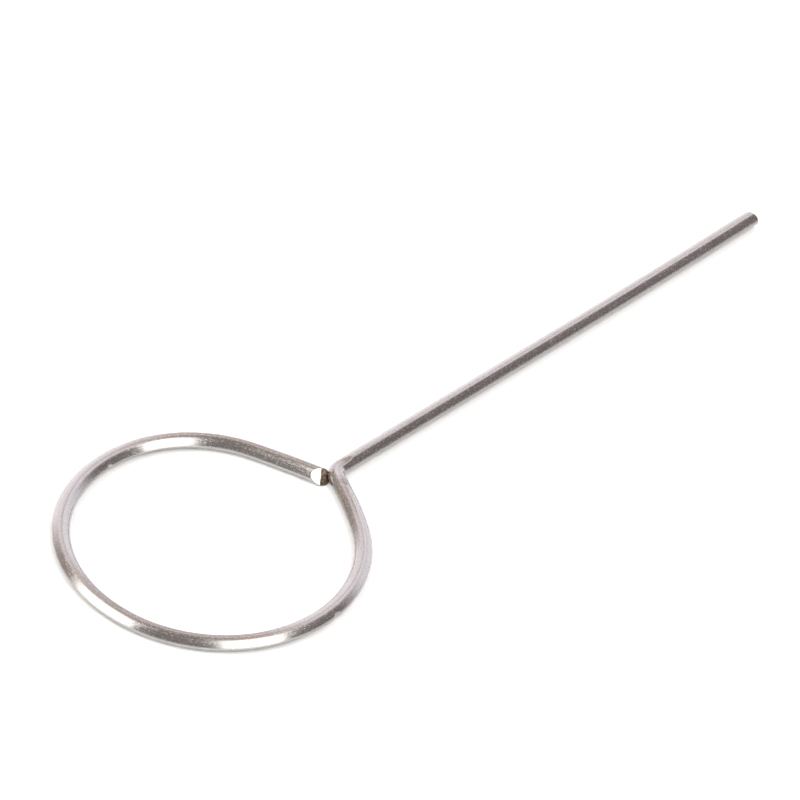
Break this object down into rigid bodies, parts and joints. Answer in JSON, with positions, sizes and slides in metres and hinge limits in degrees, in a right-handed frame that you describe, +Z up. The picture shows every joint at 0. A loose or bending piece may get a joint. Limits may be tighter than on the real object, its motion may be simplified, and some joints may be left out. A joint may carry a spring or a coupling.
{
  "type": "inoculating loop",
  "caption": "Bare inoculating loop: a stiff metal wire bent to a closed round eye, with a straight shank to clamp in a needle holder.",
  "frame": {"origin": "under the middle of the wire's box, on the plane that the loop lies on", "axes": "+Y along the shank towards its free end, +Z up from the plane that the loop lies on, +X to the right seen from above"},
  "size_m": [0.0174, 0.0508, 0.0009],
  "materials": {
    "bright_wire": "bright drawn wire, with faint lengthwise draw marks"
  },
  "bodies": {
    "root": {"loop_wire": "bright_wire"}
  },
  "joints": []
}
